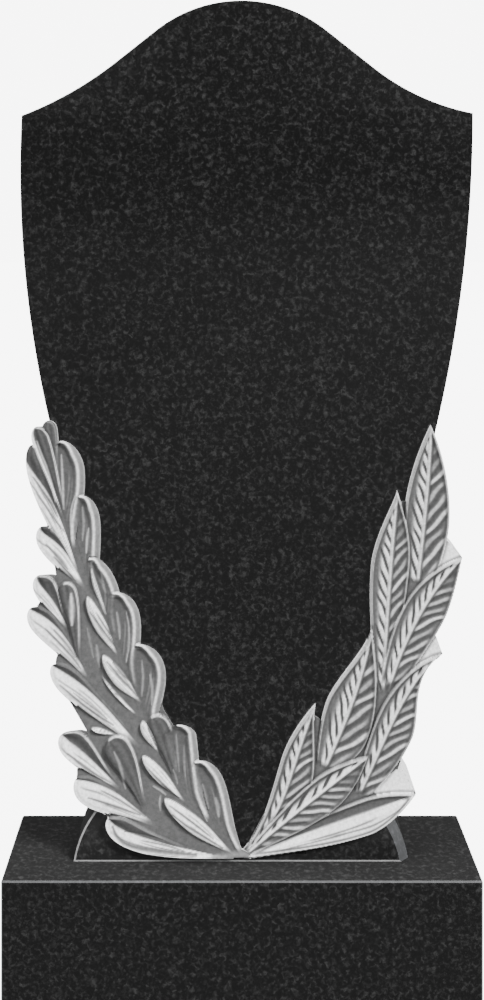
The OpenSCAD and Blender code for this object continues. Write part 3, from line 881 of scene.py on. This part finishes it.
def thicken(sheet, height, tone, place, wall_tone):
    """Turn a flat sheet into a block: relief in front, walls, and a flat rear."""
    count = len(height)
    y = FACE - np.maximum(height, THINNEST) * MM
    sheet.data.vertices.foreach_set("co", np.stack([place[:, 0], y, place[:, 1]], -1).ravel())
    bpy.ops.object.mode_set(mode="EDIT")
    bpy.ops.mesh.select_mode(type="EDGE")
    bpy.ops.mesh.select_all(action="DESELECT")
    bpy.ops.mesh.select_non_manifold(extend=False)
    bpy.ops.mesh.extrude_edges_move(TRANSFORM_OT_translate={"value": (0, REAR_SPARE, 0)})
    bpy.ops.mesh.edge_face_add()
    bpy.ops.object.mode_set(mode="OBJECT")
    for vertex in sheet.data.vertices[count:]:
        vertex.co.y = BACK + REAR_SPARE
    bpy.ops.object.mode_set(mode="EDIT")
    bpy.ops.mesh.select_all(action="SELECT")
    bpy.ops.mesh.normals_make_consistent(inside=False)
    bpy.ops.object.mode_set(mode="OBJECT")
    give_finishes(sheet, TOOLED)
    corner = np.zeros(len(sheet.data.loops), dtype=int)
    sheet.data.loops.foreach_get("vertex_index", corner)
    front = np.zeros(len(corner), dtype=bool)
    for face in sheet.data.polygons:
        if max(face.vertices) < count:
            front[face.loop_start:face.loop_start + face.loop_total] = True
    set_tone(sheet, np.where(front, tone[np.minimum(corner, count - 1)], wall_tone))


def join_by(stone, piece, operation):
    modifier = stone.modifiers.new("join", "BOOLEAN")
    modifier.operation = operation
    modifier.solver = "MANIFOLD"
    modifier.object = piece
    only(stone)
    bpy.ops.object.modifier_apply(modifier=modifier.name)
    bpy.data.objects.remove(piece, do_unlink=True)


def rim_outline(rim_left, rim_right, spine):
    """One closed outline from a leaf's two rims, which meet at its tip."""
    return np.concatenate([rim_left[:-1], spine[-1:], rim_right[-2::-1]])


def cutter_plate(outline, wall_tone, lean=None):
    """An outline on the drawing, made a plate that reaches through the branch."""
    corners = [tuple(c) for c in placed(np.array(outline, float))]
    return plate("branch_cutter", corners, CUTTER_FRONT, BACK, TOOLED, wall_tone, lean)


def cut_branch(branch, cutters):
    """Join the cutters into one, and keep what it holds of the branch."""
    whole, *others = cutters
    for cutter in others:
        join_by(whole, cutter, "UNION")
    join_by(branch, whole, "INTERSECT")


# %% Cut the oak branch out of its block
OAK_SHEET = ([-290.0, -8.0], [14.0, 575.0])
OAK_REAR_TONE = 0.45
# The oak's walls are painted pale, a painted light that lifts the shadow falling on them in the
# notches.
OAK_WALL_LIGHT_TONE = 0.72
OAK_RIM_STEPS = 30
oak, grid = branch_sheet("oak_branch", *OAK_SHEET)
height, tone = oak_relief(grid)
thicken(oak, height, tone, placed(grid), OAK_REAR_TONE)
outlines = [rim_outline(*lobe_sides(*row[:5], OAK_RIM_STEPS)) for row in OAK] + OAK_GROUND
cut_branch(oak, [cutter_plate(outline, OAK_WALL_LIGHT_TONE, leaning) for outline in outlines])
print("oak branch has", len(oak.data.polygons), "faces")

# %% [markdown]
# ## The surface of a laurel leaf
# A laurel leaf is pointed, with a raised midrib and a thin rim, both painted bright as
# highlights. On its left half short veins stand like teeth along the midrib, with a pit
# cut between each pair and painted dark as shade. On its right half the veins are long
# slanting ridges, painted light on their crests and dark as shade between them. The
# lowest leaf is turned over: it has a broad groove in place of a midrib, painted dark as
# shade, and its lower half is nearly smooth.
# The branch is laid and cut out as the oak was, but its walls stand straight.

# %% The surface of a laurel leaf
LEFT_SLANT, RIGHT_SLANT = 1.9, 1.35
# painted shade in the pits, and a painted highlight on the midrib
PIT_SHADE_TONE = 0.27
MIDRIB_HIGHLIGHT_TONE = 0.85
# place across the turned leaf, and where along it the streak starts and ends
TURNED_STREAKS = [(-0.38, 0.30, 0.80), (-0.55, 0.45, 0.95), (-0.70, 0.15, 0.60)]


def vein_phase(run, away, slant, spacing, number):
    wander = 0.10 * np.sin(run / 11 + number) + 0.06 * np.sin(run / 5.3 + 2 * number)
    return (run - slant * away) / spacing + wander + 0.37 * number


def laurel_surface(along, away, side, share, edge, run, number, left_gap, right_gap):
    """away: from the midrib. edge: from the outline. run: from the base. All in mm."""
    open_wide = np.minimum((away + edge) / 9, 1)
    phase = np.where(side > 0, vein_phase(run, away, LEFT_SLANT, left_gap, number),
                     vein_phase(run, away, RIGHT_SLANT, right_gap, number))
    wave = np.cos(2 * math.pi * phase)
    # No two veins are cut alike: each is a little longer and stronger, or less so.
    own = np.sin(2.4 * np.where(side > 0, np.floor(phase), np.round(phase)) + number)
    near_rib = 1 - ease((share - 0.42) / 0.30)
    pit = (ease((-wave + 0.10) / 0.8) * ease((away - 1.5 * open_wide) / 2.5)
           * ease((0.74 + 0.10 * own - share) / 0.25))
    teeth = 0.40 + 0.46 * near_rib
    left_tone = teeth + (PIT_SHADE_TONE - teeth) * pit
    fade = 1 - 0.75 * ease((along - 0.66) / 0.26)
    zone = ease((away - 2.0) / 2.5) * ease((0.95 + 0.1 * own - share) / 0.25) * fade
    ridge_light = ease((wave + 0.15) / 1.05) * (0.80 + 0.20 * own)
    valley = ease((-wave - 0.1) / 0.8)
    # The slanting ridges are painted light and the valleys between them dark: painted light and
    # shade.
    right_tone = 0.34 + 0.06 * fade + (0.42 * ridge_light - 0.11 * valley) * zone
    tone = np.where(side > 0, left_tone, right_tone)
    rib = ridge(side * away - 0.5, 2.4 * open_wide + 0.6)
    # A painted shade runs beside the midrib.
    beside = ridge(side * away + 4.0 * open_wide, 1.6) * open_wide
    tone = tone - 0.12 * beside
    tone = tone + (MIDRIB_HIGHLIGHT_TONE - tone) * rib
    hollow = 2.2 * ease((edge - 1.5) / 6) * ease(along / 0.2)
    height = 5 + 8 * along - hollow + 2.0 * rib * open_wide
    veins = np.where(side > 0, -1.4 * pit, (0.7 * ridge_light - 0.5 * valley) * zone)
    return height + veins, tone


def turned_leaf_surface(along, across, edge, run):
    """The turned leaf: a groove above painted dark as shade, and a pale, nearly smooth half
    below.
    """
    upper = ease((across + 0.12) / 0.12)
    dark = 0.34 + 0.30 * ridge(across - 0.45, 0.35) * (1 - ease((along - 0.25) / 0.3))
    light = 0.90 - 0.02 * np.cos(run / 9)
    for place, start, end in TURNED_STREAKS:
        bend = 0.10 * np.sin(4 * along + 9 * place)
        light = light - 0.34 * ridge(across - place - bend, 0.07) * window(along, start, end)
    # A painted shade runs a little inside the rim.
    light = light - 0.35 * ridge(edge - 5.5, 2.4)
    tone = light * (1 - upper) + dark * upper
    height = 5 + 6 * along + 1.5 * ease((-across - 0.15) / 0.3) - 2.5 * upper * ease(edge / 8)
    return height, tone


# %% Lay the laurel's leaves over their ground
LAUREL_FLOOR = 3.0
LAUREL_FLOOR_TONE = 0.40
# The webs and the laurel's walls are painted pale, as painted light.
PALE_LIT_TONE = 0.88
RIM_HIGHLIGHT_TONE = 0.76


def leaf_sides(axis, left, right, base, count=60):
    u = np.sin(np.linspace(0, math.pi / 2, count))
    spine, across = spine_and_across(axis, u)
    wide_left, wide_right = (
        half_width * width_share(u, widest, base, neck=1.0, belly=1.7, tip=tip)[:, None]
        for half_width, widest, tip in (left, right))
    return spine + across * wide_left, spine - across * wide_right, spine


def laurel_relief(points):
    height = np.full(len(points), LAUREL_FLOOR)
    tone = np.full(len(points), LAUREL_FLOOR_TONE)
    for outline in LAUREL_PALE:
        tone[inside_polygon(points, outline)] = PALE_LIT_TONE
    rims = [leaf_sides(*row[:4]) for row in LAUREL]
    outlines = [np.concatenate([a, b[::-1]]) for a, b, _ in rims]
    void, at_end = where_stone_ends(points, outlines + LAUREL_GROUND + LAUREL_PALE)
    for number, (*_, left_gap, right_gap) in enumerate(LAUREL):
        length = float(np.linalg.norm(np.diff(rims[number][2], axis=0), axis=1).sum())
        near, along, side, away, share, from_left, from_right, _, inside = measure_leaf(
            points, *rims[number])
        edge = np.minimum(from_left, from_right)
        beyond = void[near] & (edge < BEYOND)
        if left_gap:
            new = laurel_surface(along, away, side, share, edge, along * length, number,
                                 left_gap, right_gap)
        else:
            new = turned_leaf_surface(along, side * share, edge, along * length)
        # A painted highlight runs along the rim, and a painted shade just inside it.
        rim = ridge(np.where(beyond, 0, np.maximum(edge - 1.5, 0)), 1.9) * ease(along / 0.1)
        rim_inner_shade = ridge(edge - 4.6, 1.6) * ease(along / 0.2)
        leaf_tone = new[1] - 0.08 * rim_inner_shade
        leaf_tone = leaf_tone + (RIM_HIGHLIGHT_TONE - leaf_tone) * rim
        leaf_height = 4 + (new[0] - 4) * ease(edge / 3.0 + 0.25)
        cover = np.where(at_end[near] & (inside | beyond), 1, ease(edge / 1.6) * inside)
        cover = cover * ease(along / 0.05)
        # A painted shadow darkens the stone just outside each leaf.
        shade = ridge(edge, 4.5) * ~inside * ease(along / 0.3)
        tone[near] = tone[near] * (1 - 0.35 * shade)
        height[near] = lay_over(height[near], leaf_height, cover)
        tone[near] = lay_over(tone[near], leaf_tone, cover)
    return height, tone


# %% Cut the laurel branch out of its block
LAUREL_SHEET = ([-14.0, -8.0], [292.0, 568.0])
LAUREL_GROUND_TONE = 0.5
LAUREL_RIM_STEPS = 40
laurel, grid = branch_sheet("laurel_branch", *LAUREL_SHEET)
height, tone = laurel_relief(grid)
thicken(laurel, height, tone, placed(grid), PALE_LIT_TONE)
cutters = [cutter_plate(rim_outline(*leaf_sides(*row[:4], LAUREL_RIM_STEPS)), PALE_LIT_TONE)
           for row in LAUREL]
cutters += [cutter_plate(outline, LAUREL_GROUND_TONE) for outline in LAUREL_GROUND]
cutters += [cutter_plate(outline, PALE_LIT_TONE) for outline in LAUREL_PALE]
cut_branch(laurel, cutters)
print("laurel branch has", len(laurel.data.polygons), "faces")

# %% [markdown]
# ## One stone
# Slab, foot, leaves and the stone between them are one block on the real headstone, so
# they are joined by Boolean unions into one mesh. Its back is one flat plane, sawn and
# polished all over, branches included.

# %% Join everything into one stone
LOOKS_BACK = 0.99
SMOOTH_BELOW = math.radians(38)
stele = slab
for piece in [foot, oak, laurel]:
    join_by(stele, piece, "UNION")
stele.name = "carved_stele"
for face in stele.data.polygons:
    if face.normal.y > LOOKS_BACK and face.center.y > BACK - 10 * HAIR:
        face.material_index = POLISHED
only(stele)
bpy.ops.object.shade_smooth_by_angle(angle=SMOOTH_BELOW)
triangles = sum(len(face.vertices) - 2 for face in stele.data.polygons)
print("stele is one stone of", triangles, "triangles")
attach(stele, "root")
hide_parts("stele")

# %% [markdown]
# ## The plinth
# The plinth is a sawn block, polished on its sides and honed on top. All its edges but
# those on the ground have a small chamfer, ground and not polished, which reads as a
# thin light line. A cube is added, its corners are put at the block's, and its edges
# are bevelled.

# %% Build the plinth
PLINTH_CHAMFER = 2 * MM
# A face that looks along no axis by at least this much is a chamfer.
SQUARE = 0.98
start_clean()
bpy.ops.mesh.primitive_cube_add(size=1)
plinth = newest("polished_plinth")
for vertex in plinth.data.vertices:
    vertex.co = [low if c < 0 else high
                 for c, low, high in zip(vertex.co, plinth_low, plinth_high)]
bevel_edges(plinth, lambda a, b: max(a.z, b.z) > plinth_low[2] + HAIR, PLINTH_CHAMFER)
give_finishes(plinth, POLISHED)
for face in plinth.data.polygons:
    if max(abs(c) for c in face.normal) < SQUARE:
        face.material_index = GROUND
    elif face.normal.z > SQUARE:
        face.material_index = HONED
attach(plinth, "root")
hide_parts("plinth")
print("plinth has", len(plinth.data.polygons), "faces")

# %% [markdown]
# ## The studio
# A pale floor, a white room, a soft key light from the upper right and a wide fill of
# half its strength from the left, which keeps the shadows beside the leaves open. The
# polished stone mirrors the room, so the room and the floor that it mirrors are dimmer
# than the white that the camera sees behind the stone.

# %% Floor and room
FLOOR_SIZE = 60
ROOM_GLOW = 0.28
SEEN_WHITE = 7.5
start_clean()
bpy.ops.mesh.primitive_plane_add(size=FLOOR_SIZE, location=(0, 0, plinth_low[2]))
floor = newest("studio_floor")
bpy.ops.object.transform_apply(location=True, rotation=True, scale=True)
paper, tree = new_material("pale_paper")
seen = add_node(tree, "ShaderNodeLightPath").outputs["Is Camera Ray"]
glow = add_node(tree, "ShaderNodeMath", {"operation": "MULTIPLY", 1: SEEN_WHITE}, {0: seen})
finish_material(tree, add_node(tree, "ShaderNodeBsdfPrincipled",
                               {"Base Color": linear("#5b5b5b"), "Roughness": 0.9,
                                "Emission Color": (1, 1, 1, 1)},
                               {"Emission Strength": glow.outputs["Value"]}))
floor.data.materials.append(paper)

world = bpy.data.worlds.new("white_room")
bpy.context.scene.world = world
world.use_nodes = True
tree = world.node_tree
tree.nodes.clear()
seen = add_node(tree, "ShaderNodeLightPath").outputs["Is Camera Ray"]
glow = add_node(tree, "ShaderNodeMapRange", {"To Min": ROOM_GLOW, "To Max": SEEN_WHITE},
                {"Value": seen})
room = add_node(tree, "ShaderNodeBackground", {"Color": (1, 1, 1, 1)},
                {"Strength": glow.outputs["Result"]})
add_node(tree, "ShaderNodeOutputWorld", links={"Surface": room.outputs[0]})

# %% Two lights
def add_sun(name, place, aim, energy, spread):
    """A distant light that shines from aim, as wide in the sky as spread, in degrees."""
    bpy.ops.object.light_add(type="SUN", location=place)
    sun = bpy.context.active_object
    sun.name = name
    sun.data.energy = energy
    sun.data.angle = math.radians(spread)
    sun.rotation_euler = Vector(aim).to_track_quat("Z", "Y").to_euler()


add_sun("key_light", (1.5, -1.5, 2.5), (0.55, -0.55, 0.63), 7.8, 18)
add_sun("fill_light", (-1.5, -1.5, 2.5), (-0.6, -0.4, 0.7), 4.0, 60)

# %% A level camera
# It stands 1.9 m away at eye height. The shift moves the stone into the frame, untilted.
CAMERA_PLACE = (-0.028, -1.9, 0.975)
bpy.ops.object.camera_add(location=CAMERA_PLACE, rotation=(math.pi / 2, 0, 0))
camera = bpy.context.active_object
camera.data.lens = 52.1
camera.data.sensor_width = 36
camera.data.shift_x = 0.0225
camera.data.shift_y = -0.282
bpy.context.scene.camera = camera
print("camera at", tuple(camera.location))
